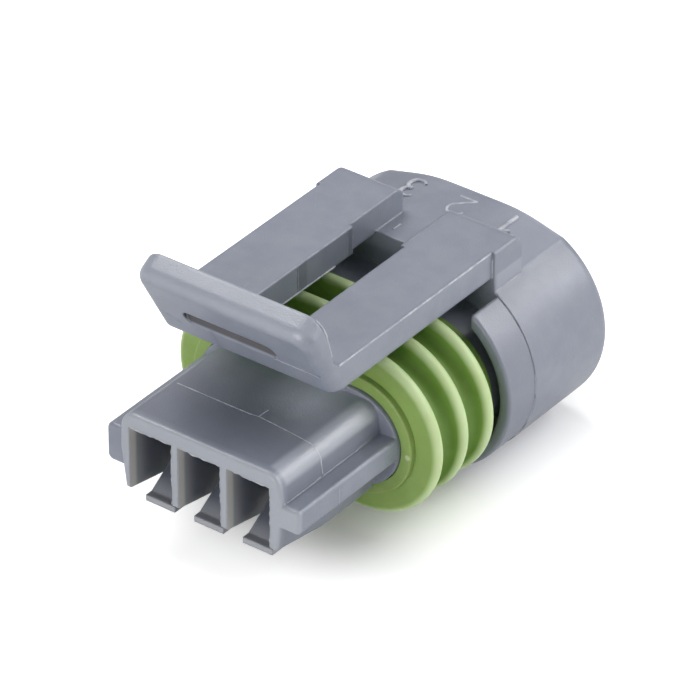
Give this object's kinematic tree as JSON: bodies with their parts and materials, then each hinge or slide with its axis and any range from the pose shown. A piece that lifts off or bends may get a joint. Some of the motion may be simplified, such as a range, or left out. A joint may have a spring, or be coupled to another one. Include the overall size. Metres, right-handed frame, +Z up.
{
  "type": "sealed automotive connector",
  "caption": "Sealed in-line wire connector plug: moulded housing with keyed nose, thumb latch over a ribbed ring seal, oval skirted body and rear wire seal.",
  "frame": {"origin": "middle of the part in plan, on the plane it rests on", "axes": "+X across the terminal cavities, nose towards -Y, wires towards +Y, +Z up towards the latch"},
  "size_m": [0.0216, 0.031, 0.0208],
  "materials": {
    "housing_grey": "satin moulded",
    "seal_green": "satin silicone"
  },
  "bodies": {
    "root": {"housing": "housing_grey", "ring_seal": "seal_green", "wire_seal": "seal_green"}
  },
  "joints": []
}
